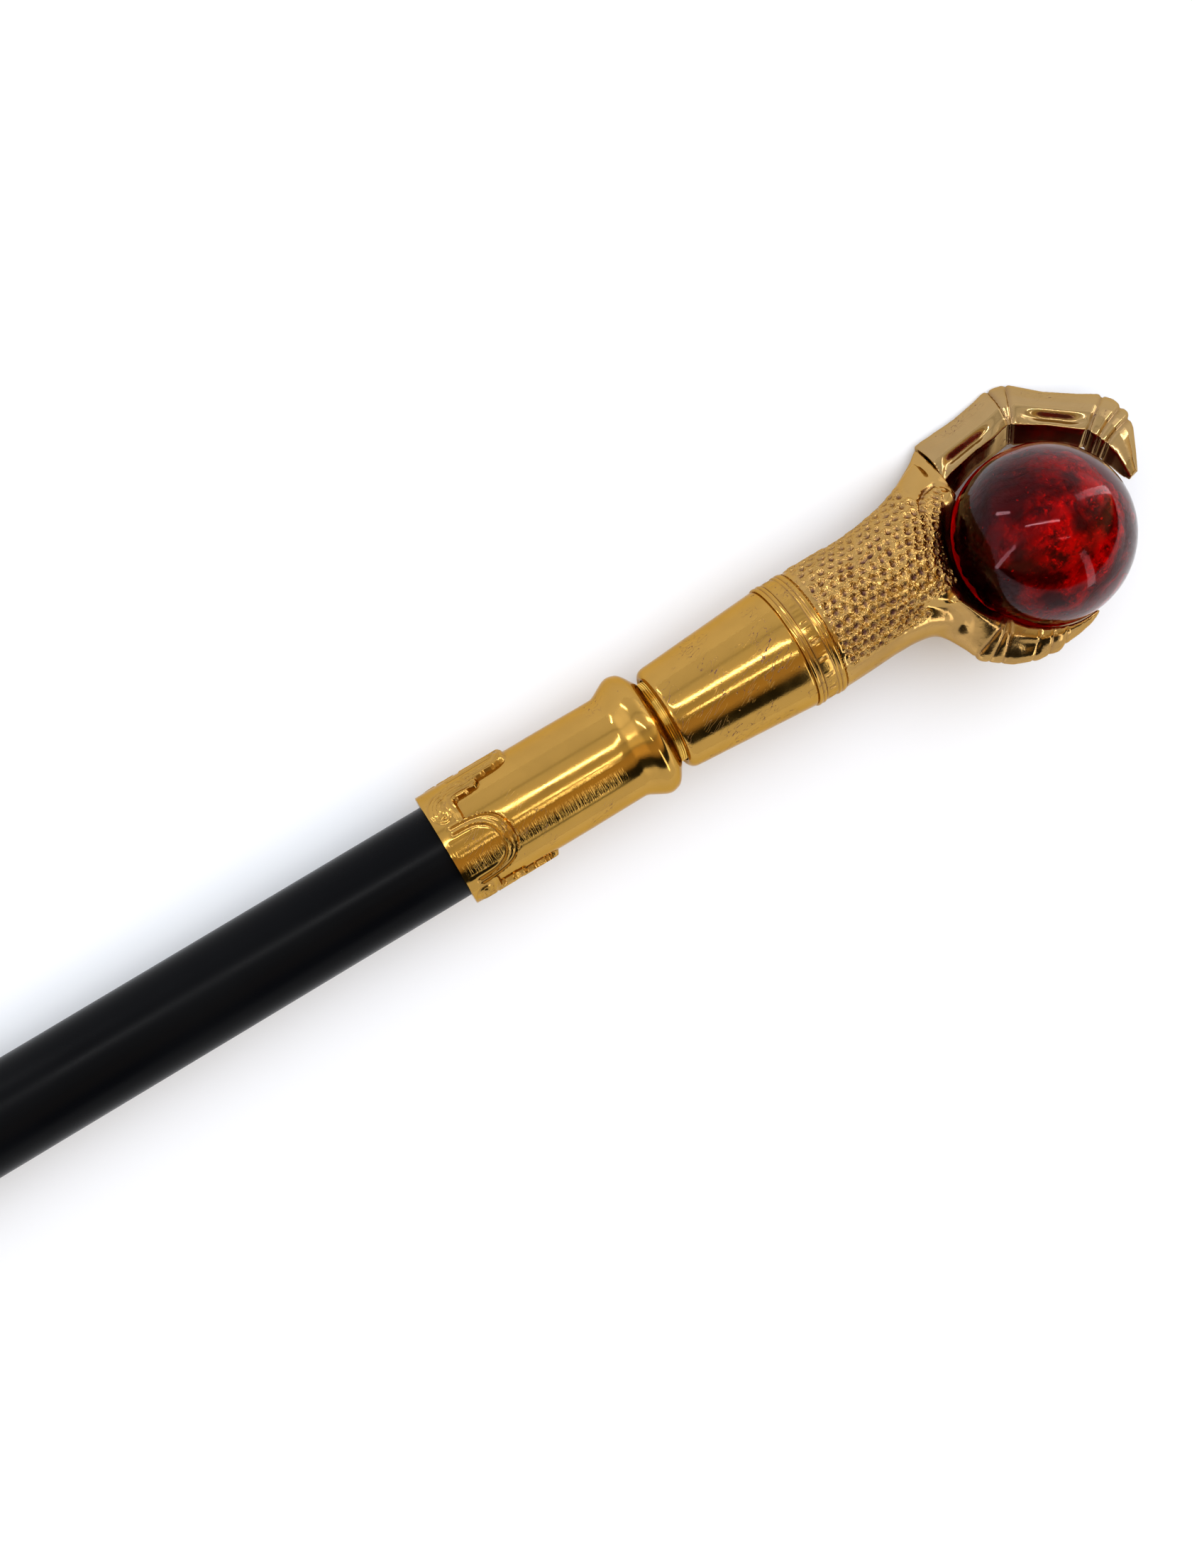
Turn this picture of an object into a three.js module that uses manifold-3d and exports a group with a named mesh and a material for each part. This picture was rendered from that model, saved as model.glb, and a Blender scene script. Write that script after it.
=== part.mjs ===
// A claw-and-ball stick, carried as a sceptre: a black shaft with a rubber tip, a gold collar, a
// screw joint with a tapering sleeve, and a gold claw that holds a red glass ball.
//
// Millimetres, +Z up. Each piece is made on the stick's own axes: x runs along the stick towards
// the head, from the collar's lower end; y points to the upper toe; z points to the claw's open
// side. At the end the whole stick is laid down on its two lowest toes and its tip.

import * as THREE from "three";
import { mergeVertices } from "three/addons/utils/BufferGeometryUtils.js";
import Module from "manifold-3d";

const wasm = await Module();
wasm.setup();

// ---------------------------------------------------------------- driving dimensions

const GAP = 0.3;               // between two pieces that touch
const HEAD_END = 186;          // x of the claw's far end
const STICK_LENGTH = 920;      // over the tip and the claw

const SHAFT_R = 11.1;
const TIP_R = 14.2;            // the rubber tip's foot
const TIP_LENGTH = 36;
const TIP_SOLE = 9;            // rubber under the shaft's end

const COLLAR_TUBE_R = 12.4;
const COLLAR_BAND_R = 13.5;    // raised band at the lower end
const COLLAR_BEAD_R = 14.68;   // bead at the mouth
const COLLAR_SHOULDER = 44.3;  // where the bore steps in to the stud's
const COLLAR_MOUTH = 54.5;
const BAND_ROWS = [0.6, 4, 6.5, 8, 11, 13, 15, 17.5, 20, 22.5];
const ARCH_MIDDLE = -17;       // degrees round the stick from the open side; its twin is opposite
// The band's height by degrees from an arch's middle: the arch, a low saddle, then a leaf.
const BAND_EDGE = [
  [0, 14.7], [14, 14.3], [24, 13.0], [31, 10.5], [35, 7.2], [58, 7.2], [61, 13.0], [69, 13.2],
  [74, 17.5], [80, 20.4], [90, 21.4],
];

const STUD_R = 9.95;
const STUD_BORE_R = STUD_R + GAP;
const THREAD_PITCH = 0.45;
const THREAD_DEPTH = 0.22;

const SLEEVE_START = 56.0;
const SLEEVE_END = 87.6;
const SLEEVE_LOW_R = 12.5;
const SLEEVE_HIGH_R = 14.6;

const CLAW_START = SLEEVE_END + GAP;
const RING_R = 15.0;
const RING_GROOVE = 0.35;
const NECK_R = 14.65;

const BALL_R = 21.0;
const BALL_CENTRE = new THREE.Vector3(152.3, -8.04, 0);
const SOCKET_R = BALL_R + GAP;
const CUP_R = 24.0;            // outside of the palm, round the ball
const CUP_RIM_Z = 1.5;
const CUP_END_X = 139;
const MOUTH_RISE = 14;         // the palm opens like a funnel from its rim towards the open side
const MOUTH_R = 30;
const MOUTH_SHIFT_Y = 1.6;     // the funnel is wider on the upper toe's side

const UPPER_TOE_ANGLE = 110;   // each toe's plane, round the stick, from the open side towards +y
const LOWER_TOE_ANGLE = -96;
const FAR_TOE_ANGLE = 180;

const FLAT_SPOT_DEPTH = 0.35;  // taken off each point that the stick lies on

// ---------------------------------------------------------------- closed meshes

// Turns a mesh's faces outwards, with its shared vertices merged.
function closed(geometry) {
  geometry.deleteAttribute("normal");
  geometry.deleteAttribute("uv");
  const merged = mergeVertices(geometry, 1e-4);
  const place = merged.getAttribute("position");
  const index = Array.from(merged.getIndex().array);
  const a = new THREE.Vector3();
  const b = new THREE.Vector3();
  const c = new THREE.Vector3();
  let volume = 0;
  const faces = [];
  for (let i = 0; i < index.length; i += 3) {
    const [p, q, r] = index.slice(i, i + 3);
    if (p === q || q === r || r === p) continue;
    a.fromBufferAttribute(place, p);
    b.fromBufferAttribute(place, q);
    c.fromBufferAttribute(place, r);
    volume += a.dot(b.cross(c));
    faces.push([p, q, r]);
  }
  if (volume < 0) faces.forEach((face) => face.reverse());
  merged.setIndex(faces.flat());
  return merged;
}

function toSolid(geometry) {
  const mesh = closed(geometry.clone());
  const vertProperties = new Float32Array(mesh.getAttribute("position").array);
  const triVerts = new Uint32Array(mesh.getIndex().array);
  return new wasm.Manifold(new wasm.Mesh({ numProp: 3, vertProperties, triVerts }));
}

function toGeometry(solid) {
  const mesh = solid.getMesh();
  const geometry = new THREE.BufferGeometry();
  geometry.setAttribute("position", new THREE.BufferAttribute(mesh.vertProperties, 3));
  geometry.setIndex(new THREE.BufferAttribute(mesh.triVerts, 1));
  return geometry;
}

// Turns [x, radius] points round the stick's axis.
function turned(profile, segments) {
  const points = profile.map(([x, r]) => new THREE.Vector2(r, x));
  const geometry = new THREE.LatheGeometry(points, segments);
  geometry.rotateZ(-Math.PI / 2);
  return closed(geometry);
}

// Joins rings of points, each with as many points as the next, and closes both ends.
function lofted(rings) {
  const count = rings[0].length;
  const places = rings.flat().flatMap((point) => point.toArray());
  const index = [];
  for (let k = 0; k + 1 < rings.length; k += 1) {
    for (let i = 0; i < count; i += 1) {
      const j = (i + 1) % count;
      const low = k * count;
      const high = low + count;
      index.push(low + i, low + j, high + j, low + i, high + j, high + i);
    }
  }
  for (const [ring, first] of [[0, 0], [rings.length - 1, (rings.length - 1) * count]]) {
    const middle = new THREE.Vector3();
    rings[ring].forEach((point) => middle.addScaledVector(point, 1 / count));
    const hub = places.length / 3;
    places.push(...middle.toArray());
    for (let i = 0; i < count; i += 1) {
      const j = (i + 1) % count;
      if (ring === 0) index.push(hub, first + j, first + i);
      else index.push(hub, first + i, first + j);
    }
  }
  const geometry = new THREE.BufferGeometry();
  geometry.setAttribute("position", new THREE.Float32BufferAttribute(places, 3));
  geometry.setIndex(index);
  return closed(geometry);
}

// ---------------------------------------------------------------- shaft and tip

const tipEnd = HEAD_END - STICK_LENGTH;

function makeShaft() {
  const foot = tipEnd + TIP_SOLE;
  const end = COLLAR_SHOULDER - GAP;
  const edge = 0.6;
  return turned([
    [foot, 0], [foot, SHAFT_R - edge], [foot + edge, SHAFT_R],
    [end - edge, SHAFT_R], [end, SHAFT_R - edge], [end, 0],
  ], 48);
}

function makeTip() {
  const bore = SHAFT_R + GAP;
  const wall = bore + 2;
  const mouth = tipEnd + TIP_LENGTH;
  return turned([
    [tipEnd, 0], [tipEnd, TIP_R - 2], [tipEnd + 0.6, TIP_R - 0.6], [tipEnd + 2, TIP_R],
    [tipEnd + 6, TIP_R], [tipEnd + 9, wall + 0.2], [mouth - 3, wall], [mouth - 2.6, wall + 0.4],
    [mouth - 0.6, wall + 0.4], [mouth, wall - 0.2], [mouth, bore],
    [tipEnd + TIP_SOLE - GAP, bore], [tipEnd + TIP_SOLE - GAP, 0],
  ], 32);
}

// ---------------------------------------------------------------- collar, stud and sleeve

// How high the raised band reaches at so many degrees round the stick.
function bandEdge(degrees) {
  const turn = Math.abs(((degrees - ARCH_MIDDLE + 450) % 180) - 90);
  const next = BAND_EDGE.findIndex(([angle]) => angle >= turn);
  if (next <= 0) return BAND_EDGE[0][1];
  const [[a, low], [b, high]] = BAND_EDGE.slice(next - 1, next + 1);
  return THREE.MathUtils.mapLinear(turn, a, b, low, high);
}

// The collar's lower band is raised, and its upper edge rises in arches and leaves.
function makeCollar() {
  const bore = SHAFT_R + GAP;
  const geometry = turned([
    [0, bore], [0, COLLAR_BAND_R - 0.5],
    ...BAND_ROWS.map((x) => [x, COLLAR_TUBE_R + 0.05]),
    [COLLAR_SHOULDER, COLLAR_TUBE_R - 0.1], [45.2, 12.6], [46.3, 13.2], [47.5, 13.85], [48.6, 14.4],
    [49.8, COLLAR_BEAD_R], [50.9, 14.5], [51.9, 14.1], [52.8, 13.2], [53.7, 11.8],
    [COLLAR_MOUTH, STUD_BORE_R + 0.5], [COLLAR_MOUTH, STUD_BORE_R],
    [COLLAR_SHOULDER, STUD_BORE_R], [COLLAR_SHOULDER, bore], [0, bore],
  ], 40);
  const place = geometry.getAttribute("position");
  for (let i = 0; i < place.count; i += 1) {
    const x = place.getX(i);
    const radius = Math.hypot(place.getY(i), place.getZ(i));
    if (x < BAND_ROWS[0] - 0.1 || x > BAND_ROWS.at(-1) + 0.1 || radius < bore + 0.5) continue;
    const degrees = THREE.MathUtils.radToDeg(Math.atan2(place.getY(i), place.getZ(i)));
    const raised = THREE.MathUtils.smoothstep(bandEdge(degrees) - x, -0.8, 0.8);
    const scale = (radius + (COLLAR_BAND_R - radius) * raised) / radius;
    place.setXYZ(i, x, place.getY(i) * scale, place.getZ(i) * scale);
  }
  return geometry;
}

function makeStud() {
  const end = SLEEVE_END - GAP;
  const profile = [[COLLAR_SHOULDER, 0], [COLLAR_SHOULDER, STUD_R]];
  for (let x = COLLAR_MOUTH - THREAD_PITCH; x < SLEEVE_START; x += THREAD_PITCH) {
    profile.push([x, STUD_R], [x + THREAD_PITCH / 2, STUD_R - THREAD_DEPTH]);
  }
  profile.push([SLEEVE_START + THREAD_PITCH, STUD_R], [end, STUD_R], [end, 0]);
  return turned(profile, 32);
}

function makeSleeve() {
  return turned([
    [SLEEVE_START, STUD_BORE_R], [SLEEVE_START, 11.2], [SLEEVE_START + 0.5, 11.8],
    [SLEEVE_START + 1.4, 12.4], [SLEEVE_START + 2.4, SLEEVE_LOW_R],
    [SLEEVE_END - 0.3, SLEEVE_HIGH_R], [SLEEVE_END, SLEEVE_HIGH_R - 0.2],
    [SLEEVE_END, STUD_BORE_R], [SLEEVE_START, STUD_BORE_R],
  ], 40);
}

// ---------------------------------------------------------------- toes

// A point in a toe's own plane through the ball's centre: along the stick, out from the ball,
// and to the side.
function toePoint(angle, along, out, side) {
  const turn = THREE.MathUtils.degToRad(angle);
  return new THREE.Vector3(
    BALL_CENTRE.x + along,
    BALL_CENTRE.y + out * Math.sin(turn) - side * Math.cos(turn),
    BALL_CENTRE.z + out * Math.cos(turn) + side * Math.sin(turn),
  );
}

// One ring of a toe: a roof over two upright sides, with its edges taken off. The ring's height
// runs from the inner point to the outer one, as fractions; the widths are fractions of half.
const TOE_RING = [
  [0.00, 0.84], [0.14, 0.97], [0.38, 1.00], [0.62, 0.78], [0.88, 0.40], [1.00, 0.14],
];

function toeRing(angle, { outer, inner, half }) {
  const side = (sign) => TOE_RING.map(([height, width]) => toePoint(
    angle,
    inner[0] + (outer[0] - inner[0]) * height,
    inner[1] + (outer[1] - inner[1]) * height,
    sign * width * half,
  ));
  return [...side(1), ...side(-1).reverse()];
}

// The point on the ball's seat in a toe's plane, at so many degrees from the head's direction.
function onSeat(degrees, clearance = 0) {
  const turn = THREE.MathUtils.degToRad(degrees);
  return [(SOCKET_R + clearance) * Math.cos(turn), (SOCKET_R + clearance) * Math.sin(turn)];
}

// The upper toe stands off the ball: two straight bones, two knuckles and a hooked talon.
const UPPER_TOE = [
  { outer: [-11.3, 34.7], inner: [-11.2, 22.3], half: 4.5 },
  { outer: [-10.0, 34.9], inner: [-9.6, 23.0], half: 4.5 },
  { outer: [0.0, 35.6], inner: [-1.5, 24.8], half: 4.2 },
  { outer: [6.0, 36.7], inner: [4.6, 25.4], half: 4.3 },
  { outer: [9.6, 37.6], inner: [7.6, 26.0], half: 4.7 },
  { outer: [12.6, 37.3], inner: [9.2, 25.5], half: 4.7 },
  { outer: [15.4, 36.5], inner: [10.8, 24.6], half: 4.4 },
  { outer: [21.2, 30.3], inner: [15.8, 21.4], half: 4.0 },
  { outer: [27.4, 25.4], inner: [20.4, 17.4], half: 3.8 },
  { outer: [31.4, 22.6], inner: [22.8, 14.9], half: 4.1 },
  { outer: [33.5, 19.4], inner: [23.6, 12.2], half: 4.2 },
  { outer: [34.2, 15.0], inner: [24.4, 9.8], half: 3.8 },
  { outer: [32.9, 11.0], inner: [25.1, 7.0], half: 3.2 },
  { outer: [29.9, 5.8], inner: [25.2, 3.4], half: 2.1 },
  { outer: [27.2, 1.4], inner: [25.4, 0.8], half: 0.8 },
];

// The arm of the claw that the upper toe is fitted to, ending at the seam.
const UPPER_ARM = [
  { outer: [-34.5, 20.0], inner: onSeat(175, -1), half: 12.5 },
  { outer: [-29.0, 24.0], inner: onSeat(160, -1), half: 11.0 },
  { outer: [-23.4, 27.2], inner: onSeat(146, -1), half: 9.0 },
  { outer: [-19.0, 29.5], inner: onSeat(134, -1), half: 7.0 },
  { outer: [-15.4, 31.5], inner: onSeat(128, -1), half: 5.4 },
  { outer: [-11.3 - GAP, 33.9], inner: [-11.2 - GAP, 17.5], half: 4.5 },
];

// The arm that each gripping toe grows from, ending at the toe's first knuckle.
const GRIPPING_ARM = [
  { outer: [-38.0, 2.0], inner: onSeat(178, -1), half: 12.5 },
  { outer: [-33.8, 5.6], inner: onSeat(171, -1), half: 11.0 },
  { outer: [-30.6, 9.8], inner: onSeat(164, -1), half: 9.0 },
  { outer: [-28.3, 13.9], inner: onSeat(156, -1), half: 7.0 },
  { outer: [-25.8, 17.8], inner: onSeat(147, -1), half: 5.6 },
];

const FAR_ARM_HALF = 6.0;      // no wider than the neck is there
const FAR_ARM = GRIPPING_ARM.map((row) => ({ ...row, half: Math.min(row.half, FAR_ARM_HALF) }));

// The lower and far toes hug the ball: a knuckle at the root, one bone, a knuckle and a talon.
const GRIPPING_TOE = [
  { outer: [-28.4, 13.9], inner: onSeat(157, -1), half: 5.0 },
  { outer: [-27.0, 17.2], inner: onSeat(150, -1), half: 5.4 },
  { outer: [-24.0, 19.4], inner: onSeat(143, -1), half: 5.1 },
  { outer: [-20.6, 21.9], inner: onSeat(136, -1), half: 4.7 },
  { outer: [-15.2, 24.0], inner: onSeat(124, -1), half: 4.5 },
  { outer: [-11.8, 24.3], inner: onSeat(117, -1), half: 4.5 },
  { outer: [-9.9, 24.8], inner: onSeat(112, -1), half: 4.4 },
  { outer: [-7.6, 24.1], inner: onSeat(107, -1), half: 4.0 },
  { outer: [-3.6, 23.8], inner: onSeat(98, -1), half: 3.3 },
  { outer: [0.2, 23.1], inner: onSeat(90, -0.5), half: 2.4 },
  { outer: [2.4, 22.2], inner: onSeat(85), half: 1.3 },
  { outer: [3.4, 21.7], inner: onSeat(82), half: 0.5 },
];

const makeToe = (angle, rows) => lofted(rows.map((row) => toeRing(angle, row)));

// ---------------------------------------------------------------- claw

// Round rings of the claw's lower end: a bead, a flat band and a bead, parted by two grooves.
const CLAW_RING = [
  [0.0, RING_R - 0.3], [0.3, RING_R], [1.8, RING_R], [2.05, RING_R - RING_GROOVE],
  [2.3, RING_R - 0.1], [4.7, RING_R - 0.1], [4.95, RING_R - RING_GROOVE], [5.2, RING_R],
  [7.0, RING_R], [7.6, NECK_R], [8.6, NECK_R],
];

// Where the neck's surface lies, by x: its upper, lower, near and far sides.
const NECK_SECTIONS = [
  { x: 103, top: 14.8, bottom: -14.4, near: 14.5, far: -14.5 },
  { x: 109, top: 14.5, bottom: -14.1, near: 14.3, far: -14.3 },
  { x: 114, top: 14.8, bottom: -14.2, near: 14.3, far: -14.3 },
  { x: 118, top: 15.4, bottom: -14.8, near: 13.9, far: -14.3 },
  { x: 121.5, top: 16.0, bottom: -16.2, near: 13.0, far: -14.0 },
  { x: 124.5, top: 16.7, bottom: -17.8, near: 11.4, far: -13.4 },
  { x: 127.5, top: 17.8, bottom: -19.6, near: 9.2, far: -12.8 },
  { x: 130.5, top: 19.1, bottom: -21.0, near: 6.2, far: -12.0 },
  { x: 134.0, top: 20.6, bottom: -22.0, near: 2.2, far: -11.0 },
  { x: 137.5, top: 21.8, bottom: -22.0, near: -2.0, far: -10.0 },
];
const NECK_SIDES = 40;

function neckRing({ x, top, bottom, near, far }) {
  return Array.from({ length: NECK_SIDES }, (_, i) => {
    const turn = (2 * Math.PI * i) / NECK_SIDES;
    return new THREE.Vector3(
      x,
      (top + bottom) / 2 + ((top - bottom) / 2) * Math.sin(turn),
      (near + far) / 2 + ((near - far) / 2) * Math.cos(turn),
    );
  });
}

function makeNeck() {
  const round = CLAW_RING.map(([along, r]) => (
    { x: CLAW_START + along, top: r, bottom: -r, near: r, far: -r }
  ));
  return lofted([...round, ...NECK_SECTIONS].map(neckRing));
}

// The palm's cup: what a sphere round the ball leaves behind the rim and before the cup's end.
function makeCup() {
  const cup = new THREE.SphereGeometry(CUP_R, 36, 24);
  cup.translate(BALL_CENTRE.x, BALL_CENTRE.y, BALL_CENTRE.z);
  const width = 2 * CUP_R;
  const keep = new THREE.BoxGeometry(width, 2 * width, width);
  keep.translate(CUP_END_X - width / 2, BALL_CENTRE.y, CUP_RIM_Z - width / 2);
  return toSolid(cup).intersect(toSolid(keep));
}

// What is cut away round the ball above the palm's rim.
function makeMouth() {
  const mouth = new THREE.CylinderGeometry(MOUTH_R, CUP_R - 2, MOUTH_RISE, 48);
  mouth.rotateX(Math.PI / 2);
  mouth.translate(
    BALL_CENTRE.x, BALL_CENTRE.y + MOUTH_SHIFT_Y, CUP_RIM_Z + MOUTH_RISE / 2,
  );
  return toSolid(mouth);
}

function makeClaw() {
  const seat = new THREE.SphereGeometry(SOCKET_R, 40, 26);
  seat.translate(BALL_CENTRE.x, BALL_CENTRE.y, BALL_CENTRE.z);
  const solid = toSolid(makeNeck())
    .add(makeCup())
    .add(toSolid(makeToe(UPPER_TOE_ANGLE, UPPER_ARM)))
    .add(toSolid(makeToe(LOWER_TOE_ANGLE, GRIPPING_ARM)))
    .add(toSolid(makeToe(FAR_TOE_ANGLE, FAR_ARM)))
    .subtract(makeMouth())
    .add(toSolid(makeToe(LOWER_TOE_ANGLE, GRIPPING_TOE)))
    .add(toSolid(makeToe(FAR_TOE_ANGLE, GRIPPING_TOE)))
    .subtract(toSolid(seat));
  return closed(toGeometry(solid));
}

function makeBall() {
  const ball = new THREE.SphereGeometry(BALL_R, 32, 20);
  ball.translate(BALL_CENTRE.x, BALL_CENTRE.y, BALL_CENTRE.z);
  return closed(ball);
}

// ---------------------------------------------------------------- laying the stick down

const upright = new THREE.Vector3(0, 0, 1);

function lowestPoint(geometry, up) {
  const place = geometry.getAttribute("position");
  const point = new THREE.Vector3();
  const lowest = new THREE.Vector3();
  let least = Infinity;
  for (let i = 0; i < place.count; i += 1) {
    const height = point.fromBufferAttribute(place, i).dot(up);
    if (height >= least) continue;
    least = height;
    lowest.copy(point);
  }
  return lowest;
}

// The upward direction, on the stick's axes, when the stick rests on one point of each support.
function restingUp(supports) {
  let up = new THREE.Vector3(0, -0.3, 1).normalize();
  for (let round = 0; round < 12; round += 1) {
    const [a, b, c] = supports.map((support) => lowestPoint(support, up));
    const next = b.sub(a).cross(c.sub(a)).normalize();
    if (next.dot(up) < 0) next.negate();
    up = next;
  }
  return up;
}

// Takes off what is lower than the flat spots' level.
function withFlatSpot(geometry, up, level) {
  const size = 3 * STICK_LENGTH;
  const ground = new THREE.BoxGeometry(size, size, size);
  ground.translate(0, 0, level - size / 2);
  ground.applyQuaternion(new THREE.Quaternion().setFromUnitVectors(upright, up));
  return closed(toGeometry(toSolid(geometry).subtract(toSolid(ground))));
}

// ---------------------------------------------------------------- materials and assembly

const GOLD = { color: 0xd2a04c, metalness: 1.0, roughness: 0.25 };
const PALE_GOLD = { color: 0xcdae78, metalness: 1.0, roughness: 0.28 };
const BRASS = { color: 0x9c7a35, metalness: 1.0, roughness: 0.35 };
const BLACK = { color: 0x141719, metalness: 0.0, roughness: 0.45 };
const RUBBER = { color: 0x1a1a1a, metalness: 0.0, roughness: 0.85 };
const RED_GLASS = {
  color: 0x8c0410, metalness: 0.0, roughness: 0.05, transparent: true, opacity: 0.75,
};

const claw = makeClaw();
const upperToe = makeToe(UPPER_TOE_ANGLE, UPPER_TOE);
const tip = makeTip();
const up = restingUp([claw, upperToe, tip]);
const level = lowestPoint(claw, up).dot(up) + FLAT_SPOT_DEPTH;

const stick = new THREE.Group();
for (const [name, geometry, finish] of [
  ["shaft", makeShaft(), BLACK],
  ["tip_ferrule", withFlatSpot(tip, up, level), RUBBER],
  ["collar", makeCollar(), GOLD],
  ["screw_stud", makeStud(), BRASS],
  ["cone_sleeve", makeSleeve(), GOLD],
  ["claw", withFlatSpot(claw, up, level), GOLD],
  ["upper_toe", withFlatSpot(upperToe, up, level), PALE_GOLD],
  ["ball", makeBall(), RED_GLASS],
]) {
  const mesh = new THREE.Mesh(geometry, new THREE.MeshStandardMaterial(finish));
  mesh.name = name;
  stick.add(mesh);
}

// Turn the resting plane level, with the stick's length along +X, and put the bottom centre of
// the whole at the origin.
const ahead = new THREE.Vector3(1, 0, 0).addScaledVector(up, -up.x).normalize();
const across = new THREE.Vector3().crossVectors(up, ahead);
const axes = new THREE.Matrix4().makeBasis(ahead, across, up);
stick.quaternion.setFromRotationMatrix(axes).invert();
stick.updateMatrixWorld(true);
const box = new THREE.Box3().setFromObject(stick, true);
const middle = box.getCenter(new THREE.Vector3());
stick.position.set(-middle.x, -middle.y, -box.min.z);

export default stick;
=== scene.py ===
"""A dress stick lying down: a black shaft with a rubber tip, a gilt collar, a screw joint, and a
gilt claw that grips a red crackle glass ball.

Every piece is modelled in millimetres on the stick's own axes, x towards the head, y towards the
upper toe and z towards the claw's open side, and is then laid where the frame lies.
"""
import math

import bpy
import numpy as np
from mathutils import Matrix, Vector


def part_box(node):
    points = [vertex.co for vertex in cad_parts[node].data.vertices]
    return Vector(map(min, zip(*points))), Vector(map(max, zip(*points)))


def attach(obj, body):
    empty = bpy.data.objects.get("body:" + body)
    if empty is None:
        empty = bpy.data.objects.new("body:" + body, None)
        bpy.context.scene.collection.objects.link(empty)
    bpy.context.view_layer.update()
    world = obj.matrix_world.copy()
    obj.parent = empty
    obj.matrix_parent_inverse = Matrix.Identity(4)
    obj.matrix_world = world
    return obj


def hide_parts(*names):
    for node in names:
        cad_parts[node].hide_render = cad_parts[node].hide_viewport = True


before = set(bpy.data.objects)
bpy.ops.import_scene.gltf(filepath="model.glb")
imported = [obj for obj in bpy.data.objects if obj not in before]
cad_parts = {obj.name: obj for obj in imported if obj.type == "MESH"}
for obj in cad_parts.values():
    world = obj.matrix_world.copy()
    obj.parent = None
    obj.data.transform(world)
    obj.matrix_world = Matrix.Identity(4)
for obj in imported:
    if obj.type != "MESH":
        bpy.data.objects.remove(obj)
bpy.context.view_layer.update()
bpy.context.scene.view_settings.view_transform = "Standard"

# ---------------------------------------------------------------- sizes, in millimetres

MM = 0.001
ROLL = math.radians(18.2640)
PITCH = math.radians(0.46278)
GAP = 0.3

SHAFT_R = 11.1
SHAFT_FOOT = -725.0
SHAFT_END = 44.0
TIP_END = -734.0
TIP_R = 14.2
TIP_LENGTH = 36.0
BORE_R = SHAFT_R + GAP

TUBE_R = 12.4
BAND_R = 13.45
COLLAR_SHOULDER = 44.3
COLLAR_MOUTH = 54.5
STUD_R = 9.95
STUD_BORE_R = STUD_R + GAP
THREAD_PITCH = 0.45
THREAD_DEPTH = 0.17
SLEEVE_START = 56.0
SLEEVE_END = 87.6
CLAW_START = 87.9

BALL_CENTRE = Vector((152.3, -8.04, 0.0))
BALL_R = 21.0
SEAT_R = 21.25
# The planes of the toes by degrees round the stick: the upper one, then the lower and the far one.
UPPER_TOE_ANGLE = 110.0
GRIPPING_TOE_ANGLES = (-96.0, 180.0)


def lying_matrix():
    """From the stick's own axes, in millimetres, to where the frame lies, in metres."""
    low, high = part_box("ball")
    turn = Matrix.Rotation(-PITCH, 4, "Y") @ Matrix.Rotation(-ROLL, 4, "X")
    shrunk = turn @ Matrix.Scale(MM, 4)
    return Matrix.Translation((low + high) / 2 - shrunk @ BALL_CENTRE) @ shrunk


LYING = lying_matrix()

# ---------------------------------------------------------------- camera, light and floor

CAMERA_LEAN = math.radians(5.4)
CAMERA_ROLL = math.radians(30.96)
CAMERA_DISTANCE = 439.5
CAMERA_AIM = (36.0, -4.36)
CAMERA_LENS = 45.611


def make_camera():
    lean, roll = CAMERA_LEAN, CAMERA_ROLL
    aim_x, aim_y = CAMERA_AIM
    eye = Vector((
        aim_x - CAMERA_DISTANCE * math.sin(lean), aim_y, CAMERA_DISTANCE * math.cos(lean)
    ))
    along = Vector((math.cos(lean), 0, math.sin(lean)))
    across = Vector((0, 1, 0))
    back = Vector((-math.sin(lean), 0, math.cos(lean)))
    right = along * math.cos(roll) - across * math.sin(roll)
    up = along * math.sin(roll) + across * math.cos(roll)
    turn = LYING.to_3x3().normalized()
    camera = bpy.data.objects.new("camera", bpy.data.cameras.new("camera"))
    bpy.context.scene.collection.objects.link(camera)
    axes = Matrix((turn @ right, turn @ up, turn @ back)).transposed()
    camera.matrix_world = Matrix.Translation(LYING @ eye) @ axes.to_4x4()
    camera.data.lens = CAMERA_LENS
    camera.data.sensor_width = 36.0
    camera.data.sensor_fit = "AUTO"
    camera.data.clip_start = 0.01
    camera.data.clip_end = 20.0
    bpy.context.scene.camera = camera
    return camera


# The studio's dome by degrees round the stick, from overhead towards the upper toe's side.
DOME = [
    (-180, (1.0, 1.0, 1.0)),
    (-62, (1.0, 1.0, 1.0)),
    (-58, (0.02, 0.02, 0.02)),
    (-37, (0.02, 0.02, 0.015)),
    (-31, (0.36, 0.25, 0.12)),
    (-22, (0.68, 0.48, 0.22)),
    (-8, (0.62, 0.43, 0.19)),
    (-2, (0.40, 0.34, 0.22)),
    (4, (0.78, 0.68, 0.46)),
    (12, (0.72, 0.66, 0.50)),
    (20, (0.56, 0.50, 0.40)),
    (27, (0.98, 0.94, 0.86)),
    (50, (0.92, 0.92, 0.88)),
    (54, (0.60, 0.58, 0.52)),
    (58, (0.92, 0.92, 0.88)),
    (74, (1.0, 1.0, 1.0)),
]
# The dome grows brighter towards the stick's two ends, between these shares of the way there.
DOME_ENDS_FROM = 0.50
DOME_ENDS_FULL = 0.80
DOME_ENDS_BRIGHTNESS = 1.6
BACKDROP = (0.95, 0.95, 0.95, 1)


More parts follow.
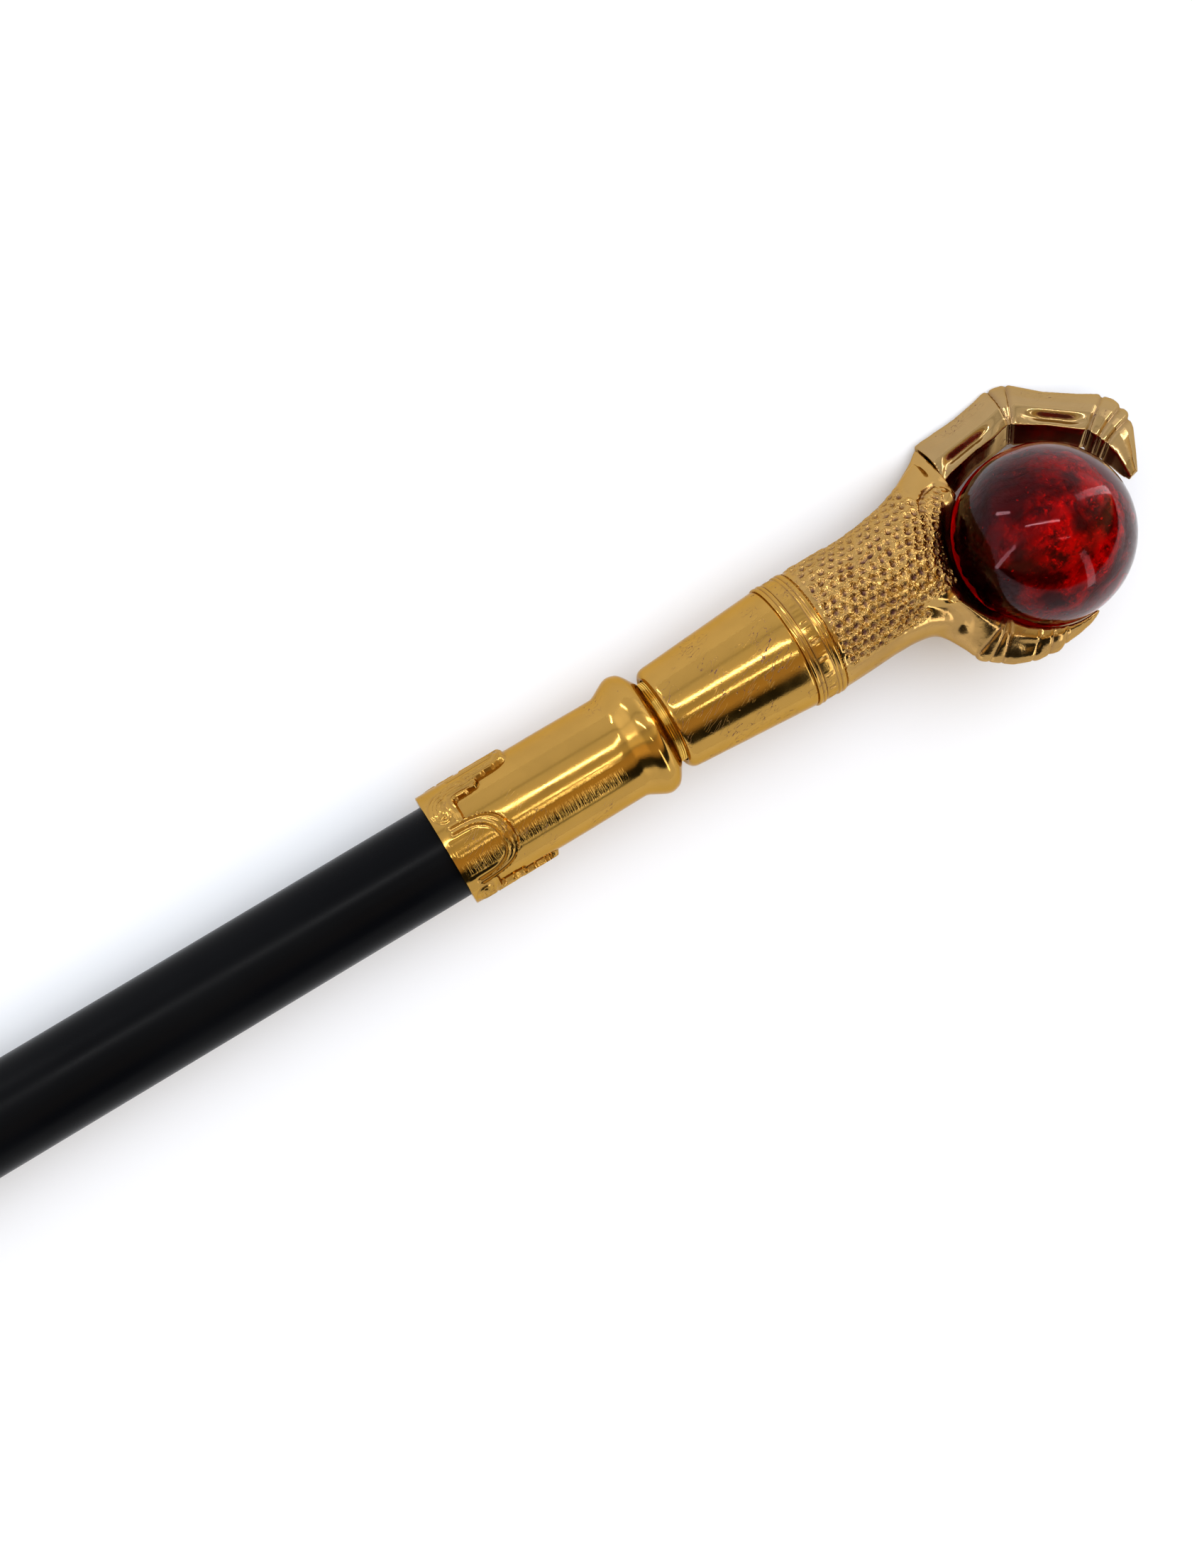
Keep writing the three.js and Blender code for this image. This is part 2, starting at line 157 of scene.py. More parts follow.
def make_dome():
    world = bpy.data.worlds.new("studio")
    bpy.context.scene.world = world
    world.use_nodes = True
    nodes, links = world.node_tree.nodes, world.node_tree.links
    nodes.clear()
    place = nodes.new("ShaderNodeTexCoord")
    split = nodes.new("ShaderNodeSeparateXYZ")
    turn = nodes.new("ShaderNodeMath")
    turn.operation = "ARCTAN2"
    share = nodes.new("ShaderNodeMapRange")
    share.inputs["From Min"].default_value = -math.pi
    share.inputs["From Max"].default_value = math.pi
    ramp = nodes.new("ShaderNodeValToRGB")
    stops = ramp.color_ramp.elements
    while len(stops) > 1:
        stops.remove(stops[-1])
    stops[0].position = 0
    stops[0].color = (*DOME[0][1], 1)
    for degrees, colour in DOME[1:]:
        stop = stops.new((degrees + 180) / 360)
        stop.color = (*colour, 1)
    lit = nodes.new("ShaderNodeBackground")
    seen = nodes.new("ShaderNodeBackground")
    seen.inputs["Color"].default_value = BACKDROP
    ray = nodes.new("ShaderNodeLightPath")
    mix = nodes.new("ShaderNodeMixShader")
    out = nodes.new("ShaderNodeOutputWorld")
    links.new(place.outputs["Generated"], split.inputs[0])
    links.new(split.outputs["Y"], turn.inputs[0])
    links.new(split.outputs["Z"], turn.inputs[1])
    links.new(turn.outputs[0], share.inputs["Value"])
    links.new(share.outputs[0], ramp.inputs[0])
    links.new(ramp.outputs["Color"], lit.inputs["Color"])
    endward = nodes.new("ShaderNodeMath")
    endward.operation = "ABSOLUTE"
    ends = nodes.new("ShaderNodeMapRange")
    ends.interpolation_type = "SMOOTHSTEP"
    ends.inputs["From Min"].default_value = DOME_ENDS_FROM
    ends.inputs["From Max"].default_value = DOME_ENDS_FULL
    ends.inputs["To Min"].default_value = 1.0
    ends.inputs["To Max"].default_value = DOME_ENDS_BRIGHTNESS
    links.new(split.outputs["X"], endward.inputs[0])
    links.new(endward.outputs[0], ends.inputs["Value"])
    links.new(ends.outputs[0], lit.inputs["Strength"])
    links.new(ray.outputs["Is Camera Ray"], mix.inputs[0])
    links.new(lit.outputs[0], mix.inputs[1])
    links.new(seen.outputs[0], mix.inputs[2])
    links.new(mix.outputs[0], out.inputs["Surface"])


# Lamps by where their reflections fall on the ball, as fractions of its radius to the right and
# up along the stick's own axes: one end, the other end, angular width and brightness.
LAMPS = [
    ("lamp_high", (-0.46, 0.48), (-0.16, 0.38), 0.030, 14.0),
    ("lamp_middle", (-0.10, 0.17), (0.23, 0.04), 0.022, 18.0),
    ("lamp_low", (-0.58, -0.05), (-0.29, 0.045), 0.035, 8.0),
    ("lamp_small", (0.13, -0.12), (0.24, -0.17), 0.012, 12.0),
    ("lamp_side", (0.26, -0.36), (0.17, -0.72), 0.070, 3.2),
    ("lamp_end", (0.49, 0.15), (0.82, 0.05), 0.060, 4.5),
]
LAMP_DISTANCE = 1.1


def reflected(spot, toward_eye, right, up):
    """Where a ray from the eye goes after it meets the ball at that spot."""
    x, y = spot
    normal = right * x + up * y + toward_eye * math.sqrt(max(0.0, 1 - x * x - y * y))
    return (2 * normal.dot(toward_eye) * normal - toward_eye).normalized()


def make_lamps(camera):
    turn = LYING.to_3x3().normalized()
    middle = LYING @ BALL_CENTRE
    toward_eye = (camera.location - middle).normalized()
    up = turn @ Vector((0, 1, 0))
    up = (up - up.dot(toward_eye) * toward_eye).normalized()
    right = up.cross(toward_eye)
    for name, start, end, width, radiance in LAMPS:
        first = middle + LAMP_DISTANCE * reflected(start, toward_eye, right, up)
        last = middle + LAMP_DISTANCE * reflected(end, toward_eye, right, up)
        run = last - first
        centre = (first + last) / 2
        facing = (middle - centre).normalized()
        length_axis = (run - run.dot(facing) * facing).normalized()
        width_axis = (-facing).cross(length_axis)
        light = bpy.data.lights.new(name, "AREA")
        light.shape = "RECTANGLE"
        light.size = run.length
        light.size_y = 2 * width * LAMP_DISTANCE
        light.energy = radiance * math.pi * light.size * light.size_y
        lamp = bpy.data.objects.new(name, light)
        bpy.context.scene.collection.objects.link(lamp)
        axes = Matrix((length_axis, width_axis, -facing)).transposed()
        lamp.matrix_world = Matrix.Translation(centre) @ axes.to_4x4()
        lamp.visible_diffuse = False


FILL_STRENGTH = 2.25
FILL_COLOUR = (0.68, 0.79, 1.0)


def make_fill():
    """A broad overhead light that lifts the floor and isn't mirrored in the gilding."""
    light = bpy.data.lights.new("fill", "SUN")
    light.energy = FILL_STRENGTH
    light.color = FILL_COLOUR
    light.angle = math.radians(70)
    fill = bpy.data.objects.new("fill", light)
    bpy.context.scene.collection.objects.link(fill)
    fill.rotation_euler = (math.radians(-12), math.radians(8), 0)
    fill.visible_glossy = False


FLOOR_SIZE = 6.0
FLOOR_TONE = (0.93, 0.93, 0.93, 1)


def make_floor():
    deselect()
    bpy.ops.mesh.primitive_plane_add(size=FLOOR_SIZE, location=(0, 0, 0))
    floor = bpy.context.object
    floor.name = "floor"
    material = bpy.data.materials.new("pale_floor")
    material.use_nodes = True
    shader = material.node_tree.nodes["Principled BSDF"]
    shader.inputs["Base Color"].default_value = FLOOR_TONE
    shader.inputs["Roughness"].default_value = 0.9
    shader.inputs["Specular IOR Level"].default_value = 0.0
    floor.data.materials.append(material)


# ---------------------------------------------------------------- modelling helpers


def deselect():
    for item in bpy.context.selected_objects:
        item.select_set(False)


def pick(piece):
    deselect()
    piece.select_set(True)
    bpy.context.view_layer.objects.active = piece


def places(piece):
    values = np.zeros(len(piece.data.vertices) * 3)
    piece.data.vertices.foreach_get("co", values)
    return values.reshape(-1, 3)


def put_places(piece, values):
    piece.data.vertices.foreach_set("co", np.ascontiguousarray(values, dtype=float).ravel())
    piece.data.update()


def normals(piece):
    values = np.zeros(len(piece.data.vertices) * 3)
    piece.data.vertex_normals.foreach_get("vector", values)
    return values.reshape(-1, 3)


def remember(piece, name, values):
    """Keeps one number for each vertex, for the piece's material."""
    layer = piece.data.attributes.new(name, "FLOAT", "POINT")
    layer.data.foreach_set("value", np.ascontiguousarray(values, dtype=np.float32))


def step(values, low, high):
    """Rises smoothly from nought at low to one at high."""
    share = np.clip((values - low) / (high - low), 0, 1)
    return share * share * (3 - 2 * share)


def bell(values, width):
    """One at nought, and smoothly down to nothing some widths away."""
    return np.exp(-((values / width) ** 2))


def from_ball(place):
    """Each point's way from the ball's centre, and how long that way is."""
    away = place - np.array(BALL_CENTRE)
    return away, np.linalg.norm(away, axis=1)


def apply_modifier(piece, kind, **settings):
    pick(piece)
    modifier = piece.modifiers.new(kind.lower(), kind)
    for name, value in settings.items():
        setattr(modifier, name, value)
    bpy.ops.object.modifier_apply(modifier=modifier.name)


def turned(name, profile, sides):
    """Turns (along, radius) points round the stick's axis. A profile that comes back to its first
    point makes a tube, and any other is closed with a face at each end."""
    x, r = profile[0]
    deselect()
    bpy.ops.mesh.primitive_circle_add(
        vertices=sides, radius=r, location=(x, 0, 0), rotation=(0, math.pi / 2, 0)
    )
    piece = bpy.context.object
    piece.name = name
    bpy.ops.object.transform_apply(location=True, rotation=True, scale=True)
    bpy.ops.object.mode_set(mode="EDIT")
    bpy.ops.mesh.select_all(action="SELECT")
    for next_x, next_r in profile[1:]:
        bpy.ops.mesh.extrude_region_move(TRANSFORM_OT_translate={"value": (next_x - x, 0, 0)})
        grow = next_r / r
        bpy.ops.transform.resize(value=(1, grow, grow), center_override=(0, 0, 0))
        x, r = next_x, next_r
    bpy.ops.mesh.select_all(action="SELECT")
    bpy.ops.mesh.remove_doubles(threshold=0.001)
    bpy.ops.mesh.fill_holes(sides=0)
    bpy.ops.mesh.normals_make_consistent(inside=False)
    bpy.ops.object.mode_set(mode="OBJECT")
    return piece


def eased(points, steps):
    """More points on a smooth curve through these ones."""
    line = np.array([points[0], *points, points[-1]], float)
    found = []
    for k in range(1, len(line) - 2):
        a, b, c, d = line[k - 1], line[k], line[k + 1], line[k + 2]
        for t in np.arange(steps) / steps:
            found.append(tuple(0.5 * (
                2 * b + (c - a) * t + (2 * a - 5 * b + 4 * c - d) * t * t
                + (3 * b - a - 3 * c + d) * t ** 3
            )))
    return [*found, tuple(line[-1])]


def rows(start, end, gap, radius):
    """Points on a straight tube, about a gap apart."""
    count = max(1, round((end - start) / gap))
    return [(start + (end - start) * k / count, radius) for k in range(count + 1)]


def lay_down(piece, node, material, angle=40):
    """Shades a finished piece, lays it in the frame, gives it its material, hangs it on the root
    body and hides the CAD node that it stands for.
    """
    pick(piece)
    bpy.ops.object.shade_smooth_by_angle(angle=math.radians(angle))
    piece.data.transform(LYING)
    values = places(piece)
    values[:, 2] = np.maximum(values[:, 2], 0.0)
    put_places(piece, values)
    piece.data.materials.clear()
    piece.data.materials.append(material)
    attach(piece, "root")
    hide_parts(node)
    return piece


# ---------------------------------------------------------------- materials

EDGE_TINT = (0.84, 0.68, 0.46, 1)
GOLD = (0.47, 0.268, 0.062)
CLAW_GOLD = (0.47, 0.283, 0.090)
PALE_GOLD = (0.405, 0.268, 0.118)
BRASS = (0.95, 0.64, 0.14)
BROWN = (0.120, 0.055, 0.056)


class Finish:
    """A node material being put together."""

    def __init__(self, name):
        self.material = bpy.data.materials.new(name)
        self.material.use_nodes = True
        self.nodes = self.material.node_tree.nodes
        self.links = self.material.node_tree.links
        self.shader = self.nodes["Principled BSDF"]
        self.place = self.nodes.new("ShaderNodeTexCoord").outputs["Object"]

    def set(self, **values):
        for name, value in values.items():
            self.shader.inputs[name.replace("_", " ")].default_value = value

    def stretched(self, scale, turn=0.0):
        node = self.nodes.new("ShaderNodeMapping")
        node.vector_type = "TEXTURE"
        node.inputs["Scale"].default_value = tuple(1 / side for side in scale)
        node.inputs["Rotation"].default_value = (0, 0, turn)
        self.links.new(self.place, node.inputs["Vector"])
        return node.outputs[0]

    def noise(self, scale, detail=2.0, place=None, rough=0.5):
        node = self.nodes.new("ShaderNodeTexNoise")
        node.inputs["Scale"].default_value = scale
        node.inputs["Detail"].default_value = detail
        node.inputs["Roughness"].default_value = rough
        self.links.new(place or self.place, node.inputs["Vector"])
        return node.outputs["Fac"]

    def cells(self, scale):
        node = self.nodes.new("ShaderNodeTexVoronoi")
        node.inputs["Scale"].default_value = scale
        self.links.new(self.place, node.inputs["Vector"])
        return node.outputs["Distance"]

    def spread(self, value, low, high, to_low=0.0, to_high=1.0):
        node = self.nodes.new("ShaderNodeMapRange")
        node.interpolation_type = "SMOOTHSTEP"
        for name, number in (("From Min", low), ("From Max", high), ("To Min", to_low),
                             ("To Max", to_high)):
            node.inputs[name].default_value = number
        self.links.new(value, node.inputs["Value"])
        return node.outputs[0]

    def math(self, operation, first, second=0.0):
        node = self.nodes.new("ShaderNodeMath")
        node.operation = operation
        for socket, value in zip(node.inputs, (first, second)):
            if isinstance(value, float):
                socket.default_value = value
            else:
                self.links.new(value, socket)
        return node.outputs[0]

    def kept(self, name):
        node = self.nodes.new("ShaderNodeAttribute")
        node.attribute_name = name
        return node.outputs["Fac"]

    def blend(self, share, first, second):
        node = self.nodes.new("ShaderNodeMix")
        node.data_type = "RGBA"
        self.links.new(share, node.inputs["Factor"])
        for socket, colour in ((node.inputs[6], first), (node.inputs[7], second)):
            if isinstance(colour, tuple):
                socket.default_value = (*colour, 1)
            else:
                self.links.new(colour, socket)
        return node.outputs[2]

    def bump(self, height, strength, distance, under=None):
        node = self.nodes.new("ShaderNodeBump")
        node.inputs["Strength"].default_value = strength
        node.inputs["Distance"].default_value = distance
        self.links.new(height, node.inputs["Height"])
        if under:
            self.links.new(under, node.inputs["Normal"])
        return node.outputs[0]

    def feed(self, name, value):
        self.links.new(value, self.shader.inputs[name])


def gilding(name, colour, patina_and_shade, wear=1.0, hollow_shade_and_patina=False, chatter=False, cast=False,
            polish=(0.09, 0.17)):
    """Gold plate: an uneven polish, tiny pits, hairline scratches and brown in the hollows, which
    is painted shade in creases, grooves and other hollows and on the claw's belly, and real patina
    in the scale pits.
    """
    finish = Finish(name)
    finish.set(Metallic=1.0, Specular_Tint=EDGE_TINT)
    cloud = finish.noise(160.0, 3.0)
    grain = finish.noise(2600.0, 2.0)
    pitted = finish.spread(finish.noise(90.0, 2.0), 0.60 - 0.05 * wear, 0.67 - 0.05 * wear)
    pit = finish.math("MULTIPLY", finish.spread(finish.cells(420.0), 0.10, 0.05), pitted)
    lines = finish.noise(1.0, 1.5, finish.stretched((150.0, 900.0, 900.0), 0.6))
    off_line = finish.math("ABSOLUTE", finish.math("SUBTRACT", lines, 0.5))
    scratched = finish.spread(finish.noise(110.0, 2.0), 0.62 - 0.07 * wear, 0.70 - 0.07 * wear)
    hairline = finish.math("MULTIPLY", finish.spread(off_line, 0.010, 0.004), scratched)
    wear_and_shade = finish.math("MULTIPLY", finish.math("ADD", pit, hairline), 0.7 * wear)
    # Painted shade: brown mixed in where the kept attribute is high, in creases, grooves and on
    # the claw's belly, together with the patina of the scale pits.
    if hollow_shade_and_patina:
        uneven = finish.spread(cloud, 0.3, 0.6, 0.55)
        hollow = finish.math("MULTIPLY", finish.kept("hollow_shade_and_patina"), uneven)
        wear_and_shade = finish.math("ADD", wear_and_shade, hollow)
    darker = tuple(0.94 * level for level in colour)
    tone = finish.blend(finish.spread(cloud, 0.35, 0.7), colour, darker)
    finish.feed("Base Color", finish.blend(wear_and_shade, tone, patina_and_shade))
    rough = finish.spread(cloud, 0.3, 0.75, *polish)
    finish.feed("Roughness", finish.math("ADD", rough, finish.math("MULTIPLY", wear_and_shade, 0.35)))
    height = finish.math("SUBTRACT", finish.math("MULTIPLY", grain, 0.5), wear_and_shade)
    shape = finish.bump(height, 0.25 * wear, 0.00005)
    if chatter:
        ribs = finish.noise(1.0, 3.0, finish.stretched((3600.0, 150.0, 150.0)))
        ribbed = finish.math("MULTIPLY", ribs, finish.kept("chatter"))
        shape = finish.bump(ribbed, 1.0, 0.00012, shape)
    if cast:
        cast_share = finish.kept("cast")
        lumps = finish.math("MULTIPLY", finish.noise(850.0, 3.0, rough=0.6), cast_share)
        shape = finish.bump(lumps, 1.0, 0.00020, shape)
        rings = finish.math("SINE", finish.math("MULTIPLY", finish.cells(430.0), 24.0))
        coarse = finish.spread(cast_share, 0.3, 0.8)
        arcs = finish.math("MULTIPLY", finish.spread(rings, -1.0, 1.0), coarse)
        shape = finish.bump(arcs, 1.0, 0.00006, shape)
    finish.feed("Normal", shape)
    return finish.material


def black_lacquer():
    finish = Finish("black_lacquer")
    finish.set(Specular_IOR_Level=0.05)
    speck = finish.spread(finish.cells(300.0), 0.07, 0.03)
    rare = finish.math("MULTIPLY", speck, finish.spread(finish.noise(60.0), 0.62, 0.70))
    cloud = finish.noise(30.0, 4.0)
    tone = finish.blend(cloud, (0.0012, 0.0013, 0.0020), (0.0026, 0.0030, 0.0038))
    finish.feed("Base Color", finish.blend(rare, tone, (0.035, 0.038, 0.040)))
    finish.feed("Roughness", finish.spread(cloud, 0.3, 0.7, 0.26, 0.36))
    finish.feed("Normal", finish.bump(finish.noise(900.0, 3.0), 0.12, 0.00005))
    return finish.material


def black_rubber():
    finish = Finish("black_rubber")
    finish.set(Specular_IOR_Level=0.25)
    cloud = finish.noise(120.0, 4.0)
    finish.feed("Base Color", finish.blend(cloud, (0.010, 0.010, 0.010), (0.022, 0.021, 0.020)))
    finish.feed("Roughness", finish.spread(cloud, 0.3, 0.7, 0.62, 0.8))
    finish.feed("Normal", finish.bump(finish.noise(1400.0, 3.0), 0.3, 0.0001))
    return finish.material


def red_glass():
    finish = Finish("red_glass")
    finish.set(Base_Color=(1, 0.86, 0.88, 1), Roughness=0.0, IOR=1.44, Transmission_Weight=1.0,
               Specular_Tint=(0.40, 0.20, 0.24, 1))
    depth = finish.nodes.new("ShaderNodeVolumeAbsorption")
    depth.inputs["Color"].default_value = (0.90, 0.02, 0.06, 1)
    depth.inputs["Density"].default_value = 450.0
    finish.links.new(depth.outputs[0], finish.nodes["Material Output"].inputs["Volume"])
    return finish.material


def crackle():
    """The crazed heart of the ball: clouds of bright and dark red with a fine broken sparkle, with
    painted light on the side out of the palm, painted shade towards the palm and painted glints.
    """
    finish = Finish("red_crackle")
    finish.set(Roughness=0.4)
    broad = finish.noise(85.0, 2.5)
    fine = finish.noise(260.0, 5.0, rough=0.7)
    spark = finish.noise(900.0, 3.0, rough=0.7)
    painted_light = finish.kept("painted_light")
    painted_lit_clouds = finish.math("MULTIPLY", finish.spread(broad, 0.40, 0.56), painted_light)
    tone = finish.blend(painted_lit_clouds, (0.030, 0.006, 0.018), (0.75, 0.004, 0.012))
    mixed = finish.blend(finish.spread(fine, 0.36, 0.58), (0.022, 0.003, 0.010), tone)
    # Painted glints: bright red specks where the fine noise is high, on the painted lit side only.
    lit = finish.math("MULTIPLY", finish.spread(spark, 0.53, 0.66), painted_lit_clouds)
    finish.feed("Base Color", finish.blend(lit, mixed, (1.0, 0.03, 0.02)))
    broken = finish.bump(finish.cells(640.0), 0.5, 0.0003)
    finish.feed("Normal", finish.bump(finish.noise(1500.0, 3.0), 0.6, 0.0002, broken))
    return finish.material


def red_flake():
    finish = Finish("red_flake")
    finish.set(Metallic=0.5, Roughness=0.35)
    cloud = finish.noise(300.0, 2.0)
    finish.feed("Base Color", finish.blend(cloud, (0.35, 0.003, 0.005), (0.9, 0.02, 0.015)))
    return finish.material


# ---------------------------------------------------------------- shaft and tip


def make_shaft():
    edge = 0.6
    profile = [(SHAFT_FOOT, SHAFT_R - edge), (SHAFT_FOOT + edge, SHAFT_R)]
    profile += rows(SHAFT_FOOT + 20, SHAFT_END - 20, 40, SHAFT_R)
    profile += [(SHAFT_END - edge, SHAFT_R), (SHAFT_END, SHAFT_R - edge)]
    piece = turned("black_shaft", profile, 128)
    return lay_down(piece, "shaft", black_lacquer())


def make_tip():
    mouth = TIP_END + TIP_LENGTH
    wall = BORE_R + 2
    outside = [
        (TIP_END + 0.8, 10.4), (TIP_END + 0.05, 11.2), (TIP_END, 12.0), (TIP_END + 0.4, 13.2),
        (TIP_END + 1.4, 13.9), (TIP_END + 2.2, TIP_R), (TIP_END + 6, TIP_R),
        (TIP_END + 7.5, 14.0), (TIP_END + 9, wall + 0.2), (TIP_END + 14, wall + 0.05),
        (mouth - 3.2, wall), (mouth - 2.6, wall + 0.35), (mouth - 0.6, wall + 0.35),
        (mouth, wall - 0.2),
    ]
    sole = [(TIP_END + 0.8, r) for r in (3.0, 4.6)] + [(TIP_END + 0.1, 5.0), (TIP_END + 0.1, 7.0)]
    sole += [(TIP_END + 0.8, 7.4)]
    inside = [(mouth, BORE_R), (SHAFT_FOOT - GAP, BORE_R), (SHAFT_FOOT - GAP, 4.0)]
    outside = [(max(x, TIP_END), r) for x, r in eased(outside, 3)]
    piece = turned("rubber_tip", sole + outside + inside, 96)
    return lay_down(piece, "tip_ferrule", black_rubber())


# ---------------------------------------------------------------- collar

ARCH_MIDDLE = -17.0
# How high the raised band reaches, by degrees from an arch's middle to a leaf's middle.
BAND_EDGE = [
    (0, 14.7), (7, 14.6), (14, 14.2), (21, 13.4), (26, 12.3), (30, 10.8), (32.6, 8.6), (33.5, 6.9),
    (36, 6.6), (56, 6.9), (57.5, 8.0), (58.5, 12.4), (61, 13.3), (68.4, 13.3), (69.6, 17.6),
    (71.5, 19.6), (74, 20.7), (78, 21.3), (90, 21.6),
]
# Raised lines on the band, as (along, degrees from an arch's middle).
BAND_LINES = [
    [(3.2, 33), (6.2, 32.8), (8.6, 31.6), (10.5, 29.2), (11.9, 26.0), (13.0, 21.5), (13.8, 15.0),
     (14.1, 8.0), (14.2, 0.0)],
    [(3.2, 27.0), (6.0, 26.6), (8.0, 25.4), (9.6, 22.4), (10.9, 17.6), (11.7, 11.4), (12.0, 4.0),
     (12.0, 0.0)],
    [(4.9, 73), (3.7, 71), (2.5, 67), (1.6, 61), (1.2, 54), (1.35, 47.5), (2.0, 43), (2.9, 40.5),
     (3.9, 41.0), (4.5, 44.5), (4.3, 48.5)],
    [(4.6, 67.5), (3.5, 66), (2.7, 61.5), (2.1, 56), (2.2, 49), (3.0, 45), (3.7, 45.5)],
    [(4.8, 62.5), (3.8, 61), (3.1, 56.5), (3.3, 51.5), (3.9, 49.8)],
    [(5.6, 34), (5.7, 42), (5.3, 50), (5.2, 58), (5.6, 64.5), (6.4, 66.5), (9.0, 66.6),
     (11.3, 65.4), (12.2, 66.6)],
    [(6.6, 36), (6.8, 44), (6.7, 52), (6.8, 58.6), (8.5, 60.2), (11.0, 59.6)],
    [(12.2, 66.8), (13.0, 66.0), (13.2, 62.8), (12.6, 60.4)],
    [(12.0, 72.4), (14.0, 70.8), (16.5, 70.9), (18.4, 71.8), (19.9, 74.2), (20.8, 78.5),
     (21.2, 84.0), (21.3, 90.0)],
    [(11.4, 78.0), (14.0, 76.4), (16.5, 77.2), (18.3, 80.0), (19.4, 84.0), (19.8, 90.0)],
    [(8.0, 90.0), (11.0, 90.0), (15.0, 90.0), (18.4, 90.0)],
    [(5.8, 74.0), (7.6, 76.5), (9.4, 75.0), (9.8, 71.5)],
]
LINE_RISE = 0.20
LINE_WIDTH = 0.30
GROOVE_SINK = 0.14
GROOVE_WIDTH = 0.28
GROOVE_GAP = 0.62
PANEL_SINK = 0.1


def nearest_line(along, around, lines):
    """The distance from each point to the nearest of these lines, all in millimetres."""
    best = np.full(len(along), 99.0)
    for line in lines:
        for (x0, u0), (x1, u1) in zip(line, line[1:]):
            dx, du = x1 - x0, u1 - u0
            share = ((along - x0) * dx + (around - u0) * du) / (dx * dx + du * du)
            share = np.clip(share, 0, 1)
            best = np.minimum(best, np.hypot(along - x0 - share * dx, around - u0 - share * du))
    return best


def raise_band(piece):
    """Works the collar's raised band: its edge, its panel and its scrolls."""
    place = places(piece)
    along = place[:, 0]
    radius = np.hypot(place[:, 1], place[:, 2])
    degrees = np.degrees(np.arctan2(place[:, 1], place[:, 2]))
    turn = np.abs((degrees - ARCH_MIDDLE + 450) % 180 - 90)
    outside = (radius > BORE_R + 0.5) & (along > 0.25) & (along < 23.5)
    edge = np.interp(turn, *zip(*BAND_EDGE))
    per_degree = math.radians(1) * BAND_R
    raised = step(edge - along, -0.42, 0.42)
    lines = [[(x, angle * per_degree) for x, angle in eased(line, 3)] for line in BAND_LINES]
    away = nearest_line(along, turn * per_degree, lines)
    line = bell(away, LINE_WIDTH)
    groove = bell(away - GROOVE_GAP, GROOVE_WIDTH)
    panel = step(11.2 - along, 0, 0.5) * step(22 - turn, 0, 3) * step(along, 1.0, 1.4)
    worked = LINE_RISE * line - GROOVE_SINK * groove - PANEL_SINK * panel
    rise = raised * (BAND_R - TUBE_R - 0.06 + worked)
    foot = bell(along - edge - 0.35, 0.3)
    grown = np.where(outside, (radius + rise - 0.05 * foot) / radius, 1.0)
    place[:, 1:] *= grown[:, None]
    put_places(piece, place)
    # Painted shade: the grooves and the foot of the raised band are kept darker for the material.
    hollow = np.clip(0.22 * raised * groove + 0.12 * foot, 0, 1)
    remember(piece, "hollow_shade_and_patina", np.where(outside, hollow, 0.0))
    side = step(along, 1, 2) * step(43 - along, 0, 2) * step(14 - np.abs(degrees + 24), 0, 5)
    remember(piece, "chatter", side)


# The collar's beaded mouth, as (along, radius).
MOUTH_PROFILE = [
    (44.3, 12.3), (45.2, 12.6), (46.3, 13.2), (47.5, 13.85), (48.6, 14.4), (49.8, 14.68),
    (50.9, 14.5), (51.9, 14.1), (52.8, 13.2), (53.7, 11.8), (54.3, 10.9), (COLLAR_MOUTH, 10.6),
]


def make_collar():
    profile = [(0.0, BORE_R), (0.0, BAND_R - 0.3), (0.12, BAND_R - 0.05)]
    profile += rows(0.3, 23.7, 0.26, TUBE_R)
    profile += [(30.0, TUBE_R), (37.0, TUBE_R - 0.05), (42.5, TUBE_R - 0.1)]
    profile += eased(MOUTH_PROFILE, 3)
    profile += [(COLLAR_MOUTH - 0.1, STUD_BORE_R), (COLLAR_SHOULDER, STUD_BORE_R)]
    profile += [(COLLAR_SHOULDER, BORE_R), (0.0, BORE_R)]
    piece = turned("gilt_collar", profile, 360)
    raise_band(piece)
    material = gilding("collar_gilding", GOLD, BROWN, hollow_shade_and_patina=True, chatter=True)
    return lay_down(piece, "collar", material)


# ---------------------------------------------------------------- screw joint and sleeve


def make_stud():
    low, high = COLLAR_MOUTH - 1.2, SLEEVE_START + 1.2
    chamfer = 0.4
    profile = [(COLLAR_SHOULDER + 0.2, STUD_R - chamfer), (COLLAR_SHOULDER + 0.6, STUD_R)]
    profile += rows(low, high, THREAD_PITCH / 6, STUD_R)
    profile += [(SLEEVE_END - 0.8, STUD_R), (SLEEVE_END - GAP, STUD_R - chamfer)]
    piece = turned("screw_stud_thread", profile, 120)
    place = places(piece)
    turn = np.arctan2(place[:, 1], place[:, 2]) / (2 * math.pi)
    wave = np.abs(((place[:, 0] / THREAD_PITCH - turn) % 1) * 2 - 1)
    cut = (place[:, 0] > low - 0.01) & (place[:, 0] < high + 0.01)
    place[:, 1:] *= np.where(cut, 1 - THREAD_DEPTH * (1 - wave) / STUD_R, 1.0)[:, None]
    put_places(piece, place)
    material = gilding("thread_brass", BRASS, BROWN, 0.4, polish=(0.28, 0.36))
    return lay_down(piece, "screw_stud", material, 60)


# The sleeve's rounded nose, and where its straight taper begins and ends, as (along, radius).
NOSE_PROFILE = [
    (SLEEVE_START, 10.9), (56.05, 11.25), (56.5, 11.9), (57.3, 12.35), (58.4, 12.52),
]
TAPER_START = (58.4, 12.52)
TAPER_END = (87.1, 14.58)
SLEEVE_LIP = 87.84


